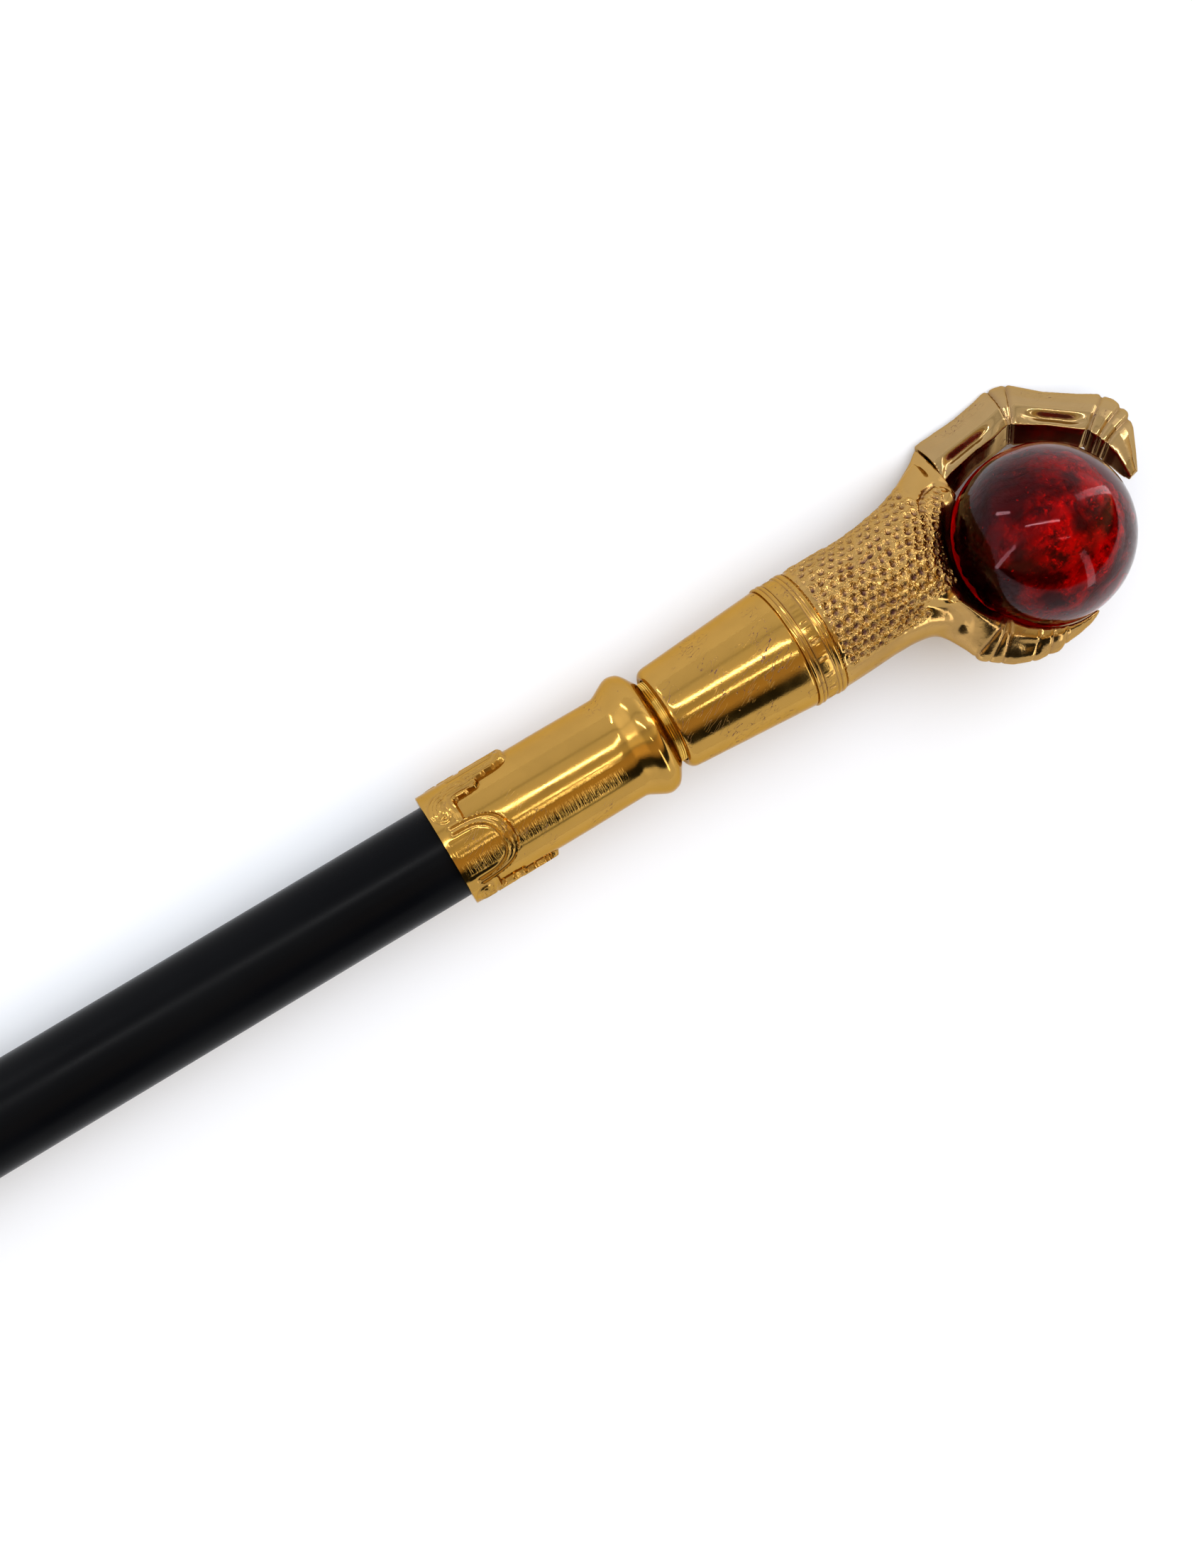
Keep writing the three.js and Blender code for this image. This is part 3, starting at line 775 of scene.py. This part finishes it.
def make_sleeve():
    (low, narrow), (high, wide) = TAPER_START, TAPER_END
    wall = [(low + (high - low) * k / 12, narrow + (wide - narrow) * k / 12) for k in range(1, 13)]
    mouth = (SLEEVE_START + 0.3, STUD_BORE_R)
    profile = [mouth] + eased(NOSE_PROFILE, 4) + wall
    profile += [(87.5, 14.56), (SLEEVE_LIP, 14.4), (SLEEVE_LIP, STUD_BORE_R), mouth]
    piece = turned("gilt_sleeve", profile, 200)
    material = gilding("sleeve_gilding", GOLD, BROWN, 1.6)
    return lay_down(piece, "cone_sleeve", material)


# ---------------------------------------------------------------- claw


def to_sculpt(name, node, voxel, rubs):
    """A merged copy of a CAD node, on the stick's own axes, evenly meshed and rubbed smooth."""
    piece = bpy.data.objects.new(name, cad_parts[node].data.copy())
    bpy.context.scene.collection.objects.link(piece)
    piece.data.transform(LYING.inverted())
    pick(piece)
    bpy.ops.object.mode_set(mode="EDIT")
    bpy.ops.mesh.select_all(action="SELECT")
    bpy.ops.mesh.remove_doubles(threshold=0.002)
    bpy.ops.object.mode_set(mode="OBJECT")
    apply_modifier(piece, "REMESH", mode="VOXEL", voxel_size=voxel)
    apply_modifier(piece, "SMOOTH", factor=0.5, iterations=rubs)
    return piece


def rub(piece, share, rounds):
    """Rubs a piece smooth where share is above nought."""
    group = piece.vertex_groups.new(name="rub")
    level = np.round(share * 10).astype(int)
    for k in range(1, 11):
        group.add(np.flatnonzero(level == k).tolist(), k / 10, "REPLACE")
    apply_modifier(piece, "SMOOTH", factor=0.5, iterations=rounds, vertex_group="rub")
    piece.vertex_groups.clear()


def refine(piece, chosen):
    """Divides the faces round the chosen points and rubs them smooth again."""
    pick(piece)
    piece.data.vertices.foreach_set("select", chosen)
    faces = np.zeros(len(piece.data.polygons), bool)
    for k, face in enumerate(piece.data.polygons):
        faces[k] = all(chosen[v] for v in face.vertices)
    piece.data.polygons.foreach_set("select", faces)
    bpy.ops.object.mode_set(mode="EDIT")
    bpy.ops.mesh.select_mode(type="FACE")
    bpy.ops.mesh.subdivide(number_cuts=1, ngon=True)
    bpy.ops.mesh.select_mode(type="VERT")
    bpy.ops.object.mode_set(mode="OBJECT")
    share = np.zeros(len(piece.data.vertices), bool)
    piece.data.vertices.foreach_get("select", share)
    rub(piece, share.astype(float), 2)


def in_toe_plane(place, angle):
    """Along the stick, out from the ball and to the side, in a toe's own plane."""
    turn = math.radians(angle)
    away, _ = from_ball(place)
    out = away[:, 1] * math.sin(turn) + away[:, 2] * math.cos(turn)
    side = -away[:, 1] * math.cos(turn) + away[:, 2] * math.sin(turn)
    return away[:, 0], out, side


def creases(along, out, lines, depth, width):
    """How deep each point lies in a toe's creases. A line starts at the toe's inner edge."""
    sunk = np.zeros(len(along))
    for x, y, degrees in lines:
        dx, dy = math.cos(math.radians(degrees)), math.sin(math.radians(degrees))
        off = (out - y) * dx - (along - x) * dy
        ahead = (along - x) * dx + (out - y) * dy
        sunk = np.maximum(sunk, bell(off, width) * step(ahead, -2.5, 0.5))
    return depth * sunk


def height_on(along, out, toe):
    """Where each point lies from nought, at a toe's inner edge, to one at its ridge."""
    turn = np.degrees(np.arctan2(out, along))
    radius = np.hypot(along, out)
    stops = np.arange(0, 181, 3.0)
    slot = np.clip(np.round(turn / 3).astype(int), 0, 60)
    inner = np.array([radius[toe & (slot == k)].min(initial=99.0) for k in range(61)])
    outer = np.array([radius[toe & (slot == k)].max(initial=0.0) for k in range(61)])
    low, high = np.interp(turn, stops, inner), np.interp(turn, stops, outer)
    return turn, (radius - low) / np.maximum(high - low, 1.0)


def fluted(turn, height, side, bones, middle, width):
    """The long hollows along the sides of a toe's bones, as a share of their full depth."""
    bone = sum(step(turn - first, 0, 13) * step(last - turn, 0, 13) for first, last in bones)
    return bone * bell(height - middle, width) * step(np.abs(side), 1.6, 2.8)


GRIPPING_CREASES = [
    (-15.5, 9.5, 152), (-15.5, 9.5, 137), (-15.5, 9.5, 124), (-11.2, 16.0, 124), (-9.0, 17.6, 116),
    (-6.0, 18.2, 107),
]
UPPER_CREASES = [(8.4, 25.0, 79), (8.8, 25.0, 61), (22.5, 14.8, 36), (23.0, 11.8, 25),
                 (23.4, 9.6, 20)]


def hashed(a, b, seed):
    """A fixed random number from 0 to 1 for each pair of whole numbers."""
    value = np.sin(a * 127.1 + b * 311.7 + seed * 74.7) * 43758.5453
    return value - np.floor(value)


SCALE_ROWS = 38
SCALE_LENGTH = 2.5
SCALE_STRAY = 0.25
RIM_RISE = 0.50
PIT_SINK = 0.50
GRAIN_RISE = 0.55


def scales(place):
    """The skin's relief in millimetres and how much of each point is a dark hollow."""
    along = place[:, 0]
    turn = np.degrees(np.arctan2(place[:, 1], place[:, 2] + 3 * step(along, 112, 134)))
    lane = turn / 360 * SCALE_ROWS + 0.18 * np.sin(along * 0.4 + turn * 0.04)
    row = np.floor(lane)
    cell = along / SCALE_LENGTH + 0.5 * (row % 2) + 0.08 * hashed(row, 0, 1)
    column = np.floor(cell)
    across = lane - row - 0.5 + SCALE_STRAY * (hashed(row, column, 2) - 0.5)
    ahead = cell - column - 0.5 + SCALE_STRAY * (hashed(row, column, 3) - 0.5)
    out = np.hypot(across, ahead)
    rim = bell(out - 0.42, 0.13) * (0.6 + 0.4 * across / np.maximum(out, 0.05))
    long = 0.78 + 0.5 * hashed(row, column, 6)
    pit = bell(np.hypot((across + 0.08) * long, (ahead - 0.05) / long), 0.24)
    grain = bell(np.hypot(across - 0.10, ahead + 0.18), 0.10) * hashed(row, column, 7)
    strong = 0.6 + 0.4 * hashed(row, column, 4)
    return strong * (RIM_RISE * rim - PIT_SINK * pit + GRAIN_RISE * grain), strong * pit


# The middle of the claw's plain belly, in degrees from the open side towards the lower toe.
BELLY_TURN = 78


def skin_share(place):
    """Where the claw has scales: on the neck and palm, not on its toes, webs, lip or seam."""
    along, y, z = place.T
    turn = np.degrees(np.arctan2(y, z))
    share = step(along, 96.0, 97.2)
    belly = step(np.abs(turn + BELLY_TURN), 26, 32)
    crown = 1 - 0.22 * step(turn, 25, 60) * step(170 - turn, 0, 30)
    back = 1 - 0.3 * step(np.abs(turn), 100, 140)
    _, ball = from_ball(place)
    lip = step(ball, 23.6, 25.4)
    seam = 1 - step(along, 127, 131) * step(y, 11, 15)
    web = 1 - step(along - (116.6 + 0.77 * (-7.8 - y)), -1.0, 1.0) * step(-y, 6.5, 8.5)
    return share * belly * crown * back * lip * seam * web


RING_PROFILE = [
    (0.0, 14.2), (0.0, 14.75), (0.15, 14.95), (0.5, 15.0), (0.8, 14.95), (1.05, 14.80),
    (1.3, 14.92), (1.55, 15.0), (1.8, 14.92), (2.05, 14.70), (2.3, 14.76), (4.7, 14.76),
    (4.95, 14.70), (5.2, 14.92), (5.45, 15.0), (5.7, 14.92), (5.95, 14.80), (6.2, 14.95),
    (6.5, 15.0), (6.9, 14.95), (7.15, 14.7), (7.5, 14.5), (7.6, 14.2),
]
ROSETTES = 21
RING_MIDDLE = 3.5
RING_FLAT_R = 14.8


def make_ring():
    """The bead, flat and bead round the claw's lower end, with small rosettes on the flat."""
    profile = eased([(CLAW_START + x, r) for x, r in RING_PROFILE], 3)
    piece = turned("claw_ring", profile + [profile[0]], 400)
    place = places(piece)
    along = place[:, 0] - CLAW_START
    radius = np.hypot(place[:, 1], place[:, 2])
    turn = np.arctan2(place[:, 1], place[:, 2]) / (2 * math.pi) * ROSETTES
    spot = np.floor(turn)
    around = (turn - spot - 0.5) * 2 * math.pi * RING_FLAT_R / ROSETTES
    off = np.hypot(around, along - RING_MIDDLE)
    flat = (radius > 14.4) & (along > 2.2) & (along < 4.8)
    strong = 0.4 + 0.6 * hashed(spot, 0, 5)
    petals = 0.10 * bell(off, 0.22) - 0.14 * bell(off - 0.45, 0.2)
    relief = strong * (0.16 * bell(off - 0.88, 0.22) + petals)
    place[:, 1:] *= np.where(flat, 1 + relief / radius, 1.0)[:, None]
    put_places(piece, place)
    # Painted shade: the grooves and the hollow ring round each rosette are kept darker for the
    # material.
    groove = sum(bell(along - x, 0.2) for x in (1.05, 2.05, 4.95, 5.95))
    dark = 0.45 * groove + 0.4 * flat * strong * bell(off - 0.45, 0.25)
    hollow = np.where(radius > 14.4, np.clip(dark, 0, 1), 0.0)
    remember(piece, "hollow_shade_and_patina", hollow)
    material = gilding("ring_gilding", GOLD, BROWN, 1.2, hollow_shade_and_patina=True)
    return lay_down(piece, "claw", material)


def join(pieces):
    pick(pieces[0])
    for piece in pieces[1:]:
        piece.select_set(True)
    bpy.ops.object.join()
    return pieces[0]


# The hollow between the neck and the lower toe, on the open side, as (x, y).
WEB_VALLEY = [(113.5, -8.6), (118.4, -9.3), (122.1, -11.6), (123.9, -14.2), (124.4, -16.0)]
# The crease under the arm's end, by the seam, as (x, y).
ARM_CREASE = [(129.2, 10.6), (131.0, 12.6), (133.6, 13.9), (137.2, 14.5)]
# The claw is turned down to this where the ring sits on it.
UNDER_RING_R = 14.1


def soften_webs(piece):
    """Rubs the webs and the upper toe's arm smooth, and leaves the gripping toes crisp."""
    place = places(piece)
    _, ball = from_ball(place)
    web = step(place[:, 0], 108, 116) * (1 - step(place[:, 0], 137.5, 140)) * step(ball, 20.5, 22)
    for angle in GRIPPING_TOE_ANGLES:
        along, out, side = in_toe_plane(place, angle)
        turn = np.degrees(np.arctan2(out, along))
        web *= 1 - step(153 - turn, 0, 8) * step(out, 9, 12) * step(9.5 - np.abs(side), 0, 4)
    along, out, side = in_toe_plane(place, UPPER_TOE_ANGLE)
    turn = np.degrees(np.arctan2(out, along))
    arm = step(turn, 118.8, 120.4) * (1 - step(turn, 136, 144)) * (np.abs(side) < 12)
    rub(piece, np.maximum(web, arm * step(ball, 23, 24.5)), 60)


def clear_seat(piece):
    """Moves what stands in the ball's seat out to the seat's own surface."""
    place = places(piece)
    away, ball = from_ball(place)
    place += away * np.maximum(SEAT_R / ball - 1, 0)[:, None]
    put_places(piece, place)


def gripping_relief(place):
    """How deep each point lies in the gripping toes' creases, and in their long hollows."""
    _, ball = from_ball(place)
    sunk = np.zeros(len(place))
    hollows = np.zeros(len(place))
    for angle in GRIPPING_TOE_ANGLES:
        along, out, side = in_toe_plane(place, angle)
        on_toe = step(6.5 - np.abs(side), 0, 1) * (out > 8) * (along > -32)
        sunk = np.maximum(sunk, on_toe * creases(along, out, GRIPPING_CREASES, 0.26, 0.36))
        on_bone = (on_toe > 0.5) & (ball > 21.0)
        turn, height = height_on(along, out, on_bone)
        hollows += 0.6 * on_bone * fluted(turn, height, side, [(118, 143)], 0.55, 0.17)
    return sunk, hollows


def palm_folds(place, normal):
    """How deep each point lies in the web's valley, and in the crease under the arm's end."""
    valley = bell(nearest_line(place[:, 0], place[:, 1], [WEB_VALLEY]), 1.7)
    valley *= step(normal[:, 2], 0.0, 0.4) * step(place[:, 2], 0, 2)
    folded = bell(nearest_line(place[:, 0], place[:, 1], [ARM_CREASE]), 0.45)
    return valley, 0.5 * folded * step(place[:, 2], -7, -5)


def make_claw():
    piece = to_sculpt("gilt_claw", "claw", 0.41, 3)
    soften_webs(piece)
    clear_seat(piece)
    place = places(piece)
    refine(piece, (skin_share(place) > 0.05) & (place[:, 2] > -2))

    place = places(piece)
    normal = normals(piece)
    _, ball = from_ball(place)
    relief, hollow = scales(place)
    share = skin_share(place)
    outer = step(ball, 21.6, 22.2)
    sunk, hollows = gripping_relief(place)
    valley, folded = palm_folds(place, normal)
    sunk = np.maximum(sunk, folded)
    place += normal * (relief * share - (sunk + hollows + valley) * outer)[:, None]
    radius = np.hypot(place[:, 1], place[:, 2])
    proud = (place[:, 0] < CLAW_START + 7.4) & (radius > UNDER_RING_R)
    place[:, 1:] *= np.where(proud, UNDER_RING_R / radius, 1.0)[:, None]
    put_places(piece, place)

    # Painted shade: the plain belly is painted darker and the creases too, with real patina in the
    # scale pits.
    below = np.abs(np.degrees(np.arctan2(place[:, 1], place[:, 2])) + BELLY_TURN)
    belly_shade = 0.16 * (1 - step(below, 24, 32)) * step(place[:, 0], 96, 98) * step(-place[:, 1], 9, 11)
    remember(piece, "hollow_shade_and_patina", np.clip(1.35 * hollow * share + 0.9 * sunk * outer + belly_shade, 0, 1))
    foot = step(-place[:, 1], 9, 12) * step(place[:, 0], 110, 118) * outer
    remember(piece, "cast", np.maximum(share, 0.22 * foot))
    material = gilding("claw_gilding", CLAW_GOLD, BROWN, hollow_shade_and_patina=True, cast=True)
    return lay_down(piece, "claw", material)


# The upper toe's two long bones, as degrees round the ball from the head's end, and the sizes of
# its work.
UPPER_BONES = [(76, 117), (31, 68)]
FLUTE_SINK = 1.25
FLUTE_RIDGE = 0.2
SEAM_REACH = 0.65


def make_upper_toe():
    """The paler toe, with its inner face drawn in to the ball and its root closed on the seam."""
    piece = to_sculpt("gilt_upper_toe", "upper_toe", 0.26, 5)
    place = places(piece)
    normal = normals(piece)
    along, out, side = in_toe_plane(place, UPPER_TOE_ANGLE)
    turn, height = height_on(along, out, np.abs(side) < 9)
    sunk = creases(along, out, UPPER_CREASES, 0.5, 0.5)
    flute = fluted(turn, height, side, UPPER_BONES, 0.17, 0.10)
    ridge = fluted(turn, height, side, UPPER_BONES, 0.35, 0.06)
    place += normal * (FLUTE_RIDGE * ridge - FLUTE_SINK * flute - sunk)[:, None]
    inner = step(0.34 - height, 0, 0.3) * np.clip((4.2 - side) / 7.2, 0, 1)
    away, ball = from_ball(place)
    place -= away / ball[:, None] * (inner * (1.4 + 0.7 * step(turn, 96, 114)))[:, None]
    radius = np.hypot(along, out)
    reach = SEAM_REACH * step(turn, 111, 116)
    place[:, 0] -= reach * out / radius
    rise = math.radians(UPPER_TOE_ANGLE)
    place[:, 1] += reach * along / radius * math.sin(rise)
    place[:, 2] += reach * along / radius * math.cos(rise)
    put_places(piece, place)
    # Painted shade: the creases are kept darker for the material.
    remember(piece, "hollow_shade_and_patina", np.clip(0.7 * sunk, 0, 1))
    material = gilding("upper_toe_gilding", PALE_GOLD, BROWN, 1.2, hollow_shade_and_patina=True)
    return lay_down(piece, "upper_toe", material)


# ---------------------------------------------------------------- ball

HEART_R = 13.3
# The heart's lumps: height, direction, waves across the ball and start.
HEART_SWELL = [
    (0.40, (0.6, 0.7, 0.3), 5.0, 0.4), (0.35, (-0.5, 0.4, 0.8), 7.0, 1.9),
    (0.25, (0.8, -0.5, 0.4), 13.0, 2.7), (0.22, (0.1, 0.9, -0.6), 19.0, 0.9),
    (0.18, (-0.7, -0.3, 0.7), 29.0, 4.1), (0.12, (0.4, -0.8, -0.5), 47.0, 5.2),
]
# The way to the side of the heart that has painted light, where its red is painted brighter as if
# lit, with painted shade on the far side: out of the palm and towards the lower toe.
HEART_PAINTED_LIGHT_SIDE = (0.62, -0.62, 0.30)
FLAKES = 150


def make_ball():
    deselect()
    bpy.ops.mesh.primitive_uv_sphere_add(
        segments=160, ring_count=80, radius=BALL_R, location=BALL_CENTRE
    )
    ball = bpy.context.object
    ball.name = "glass_ball"
    bpy.ops.object.transform_apply(location=True, rotation=True, scale=True)
    return lay_down(ball, "ball", red_glass(), 60)


def make_heart():
    deselect()
    bpy.ops.mesh.primitive_ico_sphere_add(subdivisions=6, radius=HEART_R, location=(0, 0, 0))
    heart = bpy.context.object
    heart.name = "crackle_heart"
    place = places(heart)
    away = place / HEART_R
    swell = sum(
        size * np.sin(away @ np.array(axis) * pitch + shift)
        for size, axis, pitch, shift in HEART_SWELL
    )
    put_places(heart, place + away * swell[:, None] + np.array(BALL_CENTRE))
    # Painted light and shade: the heart's red is brighter out of the palm and darker towards it.
    bright = step(away @ np.array(HEART_PAINTED_LIGHT_SIDE), -0.60, 0.35)
    remember(heart, "painted_light", 0.12 + 0.88 * bright)
    return lay_down(heart, "ball", crackle(), 60)


def make_flakes():
    """Broken facets in the glass that catch the light."""
    random = np.random.default_rng(7)
    deselect()
    bpy.ops.mesh.primitive_ico_sphere_add(subdivisions=1, radius=1.0, location=(0, 0, 0))
    first = bpy.context.object
    flakes = []
    for k in range(FLAKES):
        flake = first if k == 0 else bpy.data.objects.new(f"flake_{k}", first.data.copy())
        if k:
            bpy.context.scene.collection.objects.link(flake)
        way = random.normal(size=3)
        way /= np.linalg.norm(way)
        spot = BALL_CENTRE + Vector(way) * random.uniform(HEART_R + 0.9, HEART_R + 3.2)
        tilt = Matrix.Rotation(random.uniform(0, math.pi), 4, Vector(random.normal(size=3)))
        length = random.uniform(0.12, 0.42)
        size = Matrix.Diagonal((length, length * random.uniform(0.3, 0.7), 0.04, 1))
        flakes.append((flake, Matrix.Translation(spot) @ tilt @ size))
    for flake, matrix in flakes:
        flake.data.transform(matrix)
    flakes[0][0].name = "glass_flakes"
    piece = join([flake for flake, _ in flakes])
    return lay_down(piece, "ball", red_flake(), 20)


# ---------------------------------------------------------------- all together

camera = make_camera()
make_dome()
make_lamps(camera)
make_fill()
make_floor()
make_shaft()
make_tip()
make_collar()
make_stud()
make_sleeve()
make_claw()
make_ring()
make_upper_toe()
make_ball()
make_heart()
make_flakes()
bpy.context.view_layer.update()
